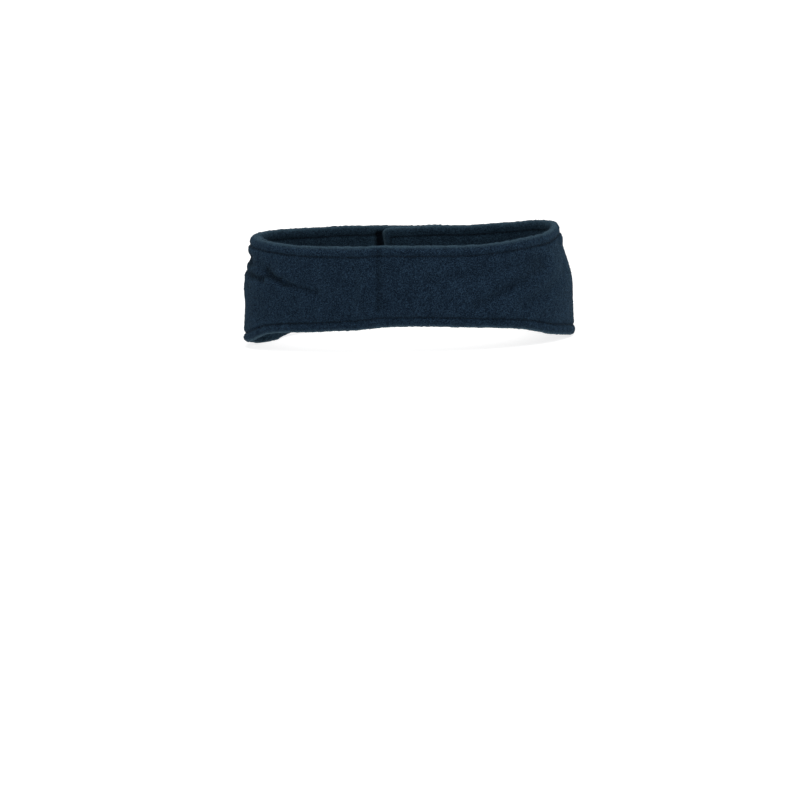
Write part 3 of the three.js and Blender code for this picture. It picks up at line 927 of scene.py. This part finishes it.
def plant(nodes, given, points, shape, rotation, scale):
    """The end of a tree: a copy of the shape on each point, as one plain mesh."""
    smooth = nodes.node("GeometryNodeSetShadeSmooth", sockets={"Geometry": shape})
    placed = {"Points": points, "Instance": smooth, "Rotation": rotation, "Scale": scale}
    copies = nodes.node("GeometryNodeInstanceOnPoints", sockets=placed)
    mesh = nodes.node("GeometryNodeRealizeInstances", sockets={"Geometry": copies})
    painted = {"Geometry": mesh, "Material": given.other("Material")}
    mesh = nodes.node("GeometryNodeSetMaterial", sockets=painted)
    nodes.node("NodeGroupOutput", sockets={"Geometry": mesh})
    return nodes.tree


def grow(bed, tree, values):
    """What the tree makes of a bed of points or faces, as a plain mesh in the same object."""
    modifier = bed.modifiers.new(tree.name, "NODES")
    modifier.node_group = tree
    for socket in tree.interface.items_tree:
        if socket.in_out == "INPUT" and socket.name in values:
            modifier[socket.identifier] = values[socket.name]
    graph = bpy.context.evaluated_depsgraph_get()
    mesh = bpy.data.meshes.new_from_object(bed.evaluated_get(graph), depsgraph=graph)
    bed.modifiers.clear()
    bed.data = mesh
    return bed


def scattered(nodes, given, density):
    """Random points over the bed's faces, and the faces' normals there."""
    values = {"Mesh": given, "Density": density, "Seed": given.other("Seed")}
    points = nodes.node("GeometryNodeDistributePointsOnFaces", sockets=values)
    return points, points.other("Normal")


def random_vector(nodes, seed):
    settings = {"data_type": "FLOAT_VECTOR"}
    values = {0: (-1, -1, -1), 1: (1, 1, 1), "Seed": seed}
    return nodes.node("FunctionNodeRandomValue", settings, values)


def random_scale(nodes, least, most, seed):
    values = {2: least, 3: most, "Seed": seed}
    return nodes.node("FunctionNodeRandomValue", sockets=values, output=1)


def facing(nodes, out, along):
    """The turn that stands a shape up on the out direction, with its length along the other."""
    settings = {"primary_axis": "Z", "secondary_axis": "X"}
    axes = {"Primary Axis": out, "Secondary Axis": along}
    return nodes.node("FunctionNodeAxesToRotation", settings, axes)


def from_bed(nodes, name, kind="FLOAT_VECTOR"):
    """A named attribute of the bed's points."""
    attribute = ("GeometryNodeInputNamedAttribute", {"data_type": kind}, {"Name": name})
    return nodes.node(*attribute, output="Attribute")


def bent_thread(nodes, given, places, steps, sides):
    """A short thread from its start to its end, bent towards the two places between them."""
    names = ("Start", "Start Handle", "End Handle", "End")
    shape = {"Resolution": steps, **dict(zip(names, places))}
    curve = nodes.node("GeometryNodeCurvePrimitiveBezierSegment", sockets=shape)
    return thread_along(nodes, curve, given.other("Thread"), sides)


def loop_tree():
    """A field of small standing loops of thread."""
    nodes, given = new_tree("brushed_loops", ("Density", "Height", "Thread"))
    points, normal = scattered(nodes, given, given.other("Density"))
    height = given.other("Height")
    foot, belly = LOOP_SHAPE["foot"], LOOP_SHAPE["belly"]
    lean, top = height * LOOP_SHAPE["lean"], height * LOOP_SHAPE["top"]
    shape = [(-foot, 0, 0), (-belly, lean, top), (belly, lean, top), (foot, 0, 0)]
    places = [vector(nodes, height * x, y, z) for x, y, z in shape]
    loop = bent_thread(nodes, given, places, 5, 3)
    rotation = facing(nodes, normal, random_vector(nodes, 1))
    return plant(nodes, given, points, loop, rotation, random_scale(nodes, *LOOP_SIZES, 2))


def hook_tree():
    """A stiff bent bristle on each point."""
    nodes, given = new_tree("tape_hooks", ("Height", "Thread"))
    height = given.other("Height")
    rise, over, top, tip_over, tip = (height * share for share in HOOK_SHAPE)
    shape = [(0, 0), (0, rise), (over, top), (tip_over, tip)]
    places = [vector(nodes, x, 0, z) for x, z in shape]
    hook = bent_thread(nodes, given, places, 6, 4)
    rotation = facing(nodes, from_bed(nodes, "out"), from_bed(nodes, "along"))
    return plant(nodes, given, given, hook, rotation, (1, 1, 1))


def tape_rows(length):
    """Distances across a patch, close together at its two edges."""
    edge = np.array(TAPE_EDGE)
    count = round(length / TAPE_STEP)
    between = np.linspace(edge[-1], length - edge[-1], count + 1)[1:-1]
    return np.concatenate((edge, between, length - edge[::-1])) - length / 2


def band_normal(s, w, out):
    """The unit direction out of the band at s, w."""
    along = place_on_band(s + NORMAL_STEP, w, out) - place_on_band(s - NORMAL_STEP, w, out)
    down = place_on_band(s, w + NORMAL_STEP, out) - place_on_band(s, w - NORMAL_STEP, out)
    return unit(np.cross(down, along))


def tape_patch(name, patch, side, material):
    """The woven ground of one patch, sunk a little into the pile and dented by its stitches.
    The patch at the strip's +s end is on the outer face, and the one at its -s end inside."""
    middle_s, middle_w = patch_middle(patch, side)
    across, down = tape_rows(patch["length"])[:, None], tape_rows(patch["height"])[None, :]
    s = middle_s + across + 0 * down
    w = middle_w + 0 * s + down
    inside = -outside_patch(patch, side, s, w)
    out = LAYER_FAR + GROUND_HEIGHT - (GROUND_HEIGHT + TAPE_EDGE_SINK) * fade(inside, TAPE_ROLL)
    out -= STITCH_DENT * fade(inside - BOX_STITCH_INSET, STITCH_DENT_WIDTH)
    face = place_on_band(s, w, side * out)
    kept = [0, s.shape[1] // 2, s.shape[1] - 1]
    hidden = place_on_band(s[:, kept], w[:, kept], side * (LAYER_FAR - TAPE_SINK))
    points, faces = closed_sheet(face, hidden, kept, side)
    weave = np.stack((s, w, 0 * s), axis=-1)
    weave = np.concatenate((weave.reshape(-1, 3), weave[:, kept].reshape(-1, 3)))
    ground = mesh_piece(f"{name}_ground", points.tolist(), faces, material, {"weave": weave})
    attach(ground, "root")
    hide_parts(name)
    return s, w


loop_ground = tape_finish("loop_tape_ground")
hook_ground = tape_finish("hook_tape_ground")
loop_thread = thread_finish("loop_thread", LOOP_COLOUR, LOOP_FINISH)
hook_bristle = thread_finish("hook_bristle", HOOK_COLOUR, HOOK_FINISH)
loops_made = loop_tree()
ROOT_HEIGHT = LAYER_FAR + GROUND_HEIGHT - ROOT_DEPTH
for number, (name, patch) in enumerate(LOOP_PATCHES.items()):
    s, w = tape_patch(name, patch, 1, loop_ground)
    kept = outside_patch(patch, 1, s, w) < -LOOP_BED_INSET
    columns, rows = kept.any(axis=1), kept.any(axis=0)
    s, w = s[columns][:, rows], w[columns][:, rows]
    face = place_on_band(s, w, ROOT_HEIGHT)
    faces = grid_quads(np.arange(s.size).reshape(s.shape))
    bed = mesh_piece(f"{name}_loops", face.reshape(-1, 3).tolist(), faces)
    sizes = {"Density": LOOPS_PER_SQUARE_METRE, "Height": LOOP_HEIGHT, "Thread": LOOP_THREAD}
    loops = grow(bed, loops_made, {**sizes, "Seed": 40 + number, "Material": loop_thread})
    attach(loops, "root")

hooks_made = hook_tree()
for name, patch in HOOK_PATCHES.items():
    tape_patch(name, patch, -1, hook_ground)
    middle_s, middle_w = patch_middle(patch, -1)
    reach_s = patch["length"] / 2 - 2 * BOX_STITCH_INSET
    reach_w = patch["height"] / 2 - 2 * BOX_STITCH_INSET
    columns = np.arange(-reach_s, reach_s, HOOK_PITCH["along"])
    rows = np.arange(-reach_w, reach_w, HOOK_PITCH["down"])
    s = middle_s + np.repeat(columns, len(rows))
    w = middle_w + np.tile(rows, len(columns))
    roots = place_on_band(s, w, -ROOT_HEIGHT)
    normal = band_normal(s, w, -ROOT_HEIGHT)
    numbers = {"out": -normal, "along": np.cross(normal, (0, 0, 1))}
    bed = mesh_piece(f"{name}_hooks", roots.tolist(), [], None, numbers)
    sizes = {"Height": HOOK_HEIGHT, "Thread": HOOK_THREAD, "Material": hook_bristle}
    hooks = grow(bed, hooks_made, sizes)
    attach(hooks, "root")


# Topstitching and box stitching
# Navy polyester thread. One line of lockstitch runs round the band, sunk in the pile of both
# faces, and a box of it holds each patch of tape and shows on the other face as well.
TOPSTITCH_PITCH = 2.8
BOX_STITCH_PITCH = 2.4
THREAD_RADIUS = 0.00018
STITCH_SHARE = 0.82
STITCH_RISE = 0.0002
STITCH_ARCH = 1.8
THREAD_LIFT = {"fleece": 0.05, "tape": 0.1}
LINE_STEP = 0.4
CORNER_STEPS = 12
BOX_CORNER = 0.6
THREAD_COLOUR = (0.0042, 0.0100, 0.0190)
SEWING_FINISH = {"roughness": 0.75, "gloss": 0.12, "sheen": 0.1}


def stitch_tree():
    """A short arched stitch of thread on each point."""
    nodes, given = new_tree("lockstitch", ("Length", "Rise", "Thread"))
    half = given.other("Length") * 0.5
    rise = given.other("Rise")
    shape = {
        "Resolution": 6,
        "Start": vector(nodes, half * -1, 0, rise * -1),
        "Middle": vector(nodes, 0, 0, rise * STITCH_ARCH),
        "End": vector(nodes, half, 0, rise * -1),
    }
    curve = nodes.node("GeometryNodeCurveQuadraticBezier", sockets=shape)
    stitch = thread_along(nodes, curve, given.other("Thread"), 5)
    rotation = facing(nodes, from_bed(nodes, "out"), from_bed(nodes, "along"))
    return plant(nodes, given, given, stitch, rotation, (1, 1, 1))


def rounded_loop(left, right, top, bottom, radius):
    """A closed line with rounded corners as s, w. bottom gives the line's lower side at s."""
    turned = np.linspace(0, math.pi / 2, CORNER_STEPS)
    sine, cosine = radius * np.sin(turned), radius * np.cos(turned)
    along = np.arange(left + radius, right - radius, LINE_STEP)
    right_base = bottom(right - radius) - radius
    left_base = bottom(left + radius) - radius
    down = np.arange(top + radius, right_base, LINE_STEP)
    up = np.arange(top + radius, left_base, LINE_STEP)[::-1]
    s = (along, right - radius + sine, right + 0 * down, right - radius + cosine)
    w = (top + 0 * along, top + radius - cosine, down, right_base + sine)
    s += (along[::-1], left + radius - sine, left + 0 * up, left + radius - cosine)
    w += (bottom(along[::-1]), left_base + cosine, up, top + radius - sine)
    return np.concatenate(s), np.concatenate(w)


def stitch_places(s, w, out, pitch):
    """Places at even distances along a closed line on a face of the band: the points, the
    direction of the line, and the direction out of the face."""
    line = place_on_band(s, w, out(s, w))
    lengths = np.linalg.norm(np.roll(line, -1, axis=0) - line, axis=1) / MM
    travelled = np.concatenate(([0], np.cumsum(lengths)))
    count = round(travelled[-1] / pitch)
    at = np.arange(count) * travelled[-1] / count
    places = []
    for shift in (-0.5, 0, 0.5):
        there = np.mod(at + shift, travelled[-1])
        places.append([np.interp(there, travelled, np.append(v, v[0])) for v in (s, w)])
    before, here, after = [place_on_band(*place, out(*place)) for place in places]
    side = np.sign(out(*places[1]))[:, None]
    return here, unit(after - before), band_normal(*places[1], out(*places[1])) * side


def stitching(name, lines, pitch):
    """One piece of stitching from closed lines, each with its own distance out of the band."""
    parts = [stitch_places(s, w, out, pitch) for s, w, out in lines]
    points, along, outward = [np.concatenate(each) for each in zip(*parts)]
    bed = mesh_piece(name, points.tolist(), [], None, {"along": along, "out": outward})
    sizes = {"Length": pitch * STITCH_SHARE * MM, "Rise": STITCH_RISE, "Thread": THREAD_RADIUS}
    made = grow(bed, lockstitch, {**sizes, "Material": thread_material})
    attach(made, "root")


def on_fleece(side):
    """How far out of the band a stitch on a layer's face is, as a function of s and w."""
    return lambda s, w: side * (face_distance(s, w, side) + THREAD_LIFT["fleece"])


def on_tape(side):
    """How far out of the band a stitch on the tape is, as a function of s and w."""
    sunk = LAYER_FAR + GROUND_HEIGHT - STITCH_DENT + THREAD_LIFT["tape"]
    return lambda s, w: side * sunk + 0 * s


def lower_stitching(s):
    return strip_height(s) - STITCH_FROM_RIM


lockstitch = stitch_tree()
thread_material = thread_finish("sewing_thread", THREAD_COLOUR, SEWING_FINISH)
end = HALF_STRIP - STITCH_FROM_END
radius = CORNER_RADIUS - STITCH_FROM_END
round_band = rounded_loop(-end, end, STITCH_FROM_RIM, lower_stitching, radius)
stitching("topstitch_outer", [(*round_band, on_fleece(1))], TOPSTITCH_PITCH)
stitching("topstitch_lining", [(*round_band, on_fleece(-1))], TOPSTITCH_PITCH)

box_lines = []
for patch, end in ALL_PATCHES:
    middle_s, middle_w = patch_middle(patch, end)
    half_length = patch["length"] / 2 - BOX_STITCH_INSET
    half_height = patch["height"] / 2 - BOX_STITCH_INSET
    box = rounded_loop(
        middle_s - half_length,
        middle_s + half_length,
        middle_w - half_height,
        lambda s, base=middle_w + half_height: base + 0 * s,
        BOX_CORNER,
    )
    box_lines += [(*box, on_tape(end)), (*box, on_fleece(-end))]
stitching("box_stitching", box_lines, BOX_STITCH_PITCH)


# The pile
# Loose fibre ends of the brushed fleece, which stand out from the cloth and blur its outline.
# They are thin in the seams, and worn away where the tape and the other flap cover the cloth.
FIBRE_LENGTH = 0.00085
FIBRE_WIDTH = 0.00005
FIBRE_LEAN = 0.8
FIBRE_ROOT = 0.0001
FIBRES_PER_SQUARE_METRE = {1: 1.5e6, -1: 0.75e6}
FIBRE_SIZES = (0.5, 1.25)
PILE_CLEAR = 1.1
SEAM_BARE = 0.8
TAPE_BARE = 1.5
LAP_BARE = 4
FIBRE_COLOURS = {1: (0.0130, 0.0270, 0.0440), -1: (0.0115, 0.0240, 0.0390)}
FIBRE_FINISH = {"roughness": 0.8, "gloss": 0.1, "sheen": 0.3}


def pile_tree():
    """Short tapering fibres that lean every way, as thick on the ground as the bed says."""
    nodes, given = new_tree("fleece_pile", ("Density", "Length", "Width", "Lean", "Root"))
    cover = from_bed(nodes, "pile", "FLOAT")
    points, normal = scattered(nodes, given, cover * given.other("Density"))
    lean = {0: random_vector(nodes, 3), "Scale": given.other("Lean")}
    lean = nodes.node("ShaderNodeVectorMath", {"operation": "SCALE"}, lean)
    direction = nodes.node("ShaderNodeVectorMath", {"operation": "ADD"}, {0: normal, 1: lean})
    rotation = facing(nodes, direction, random_vector(nodes, 4))
    shape = {
        "Vertices": 3,
        "Radius Top": 0.0,
        "Radius Bottom": given.other("Width"),
        "Depth": given.other("Length"),
    }
    fibre = nodes.node("GeometryNodeMeshCone", sockets=shape)
    sunk = vector(nodes, 0, 0, given.other("Root") * -1)
    fibre = nodes.node("GeometryNodeTransform", sockets={"Geometry": fibre, "Translation": sunk})
    return plant(nodes, given, points, fibre, rotation, random_scale(nodes, *FIBRE_SIZES, 5))


def pile_cover(s, w, face, side):
    """How thick the loose pile is at s, w, from 0 to 1."""
    cover = 1 - SEAM_BARE * fade(stitch_line(s, w), STITCH_WIDTH)
    for patch, end in ALL_PATCHES:
        if end == side:
            cover *= ease(outside_patch(patch, end, s, w) / TAPE_BARE)
    # No pile in the slot, so that its painted shadow stays dark
    if side < 0:
        cover *= 1 - in_slot(s, w)
    deep = ease(inside_outline(s, w) / LAP_BARE - 1)
    return cover * (1 - deep * in_lap(s, side)) * (face[..., 2] > PILE_CLEAR * MM)


pile_made = pile_tree()
for side, part, half in ((1, "outer_left", -1), (1, "outer_right", 1), (-1, "lining", 0)):
    s, w, face = PILE_BEDS[side]
    stations = np.flatnonzero(half * s[:, 0] >= 0)
    first, last = stations[0] - (half > 0), stations[-1] + 1
    s, w, face = s[first:last], w[first:last], face[first:last]
    faces = [quad[::side] for quad in grid_quads(np.arange(s.size).reshape(s.shape))]
    cover = {"pile": pile_cover(s, w, face, side).ravel()}
    bed = mesh_piece(f"pile_{part}", face.reshape(-1, 3).tolist(), faces, None, cover)
    sizes = {
        "Density": FIBRES_PER_SQUARE_METRE[side],
        "Length": FIBRE_LENGTH,
        "Width": FIBRE_WIDTH,
        "Lean": FIBRE_LEAN,
        "Root": FIBRE_ROOT,
        "Seed": 60 + side + half,
        "Material": thread_finish(f"pile_{part}", FIBRE_COLOURS[side], FIBRE_FINISH),
    }
    pile = grow(bed, pile_made, sizes)
    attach(pile, "root")
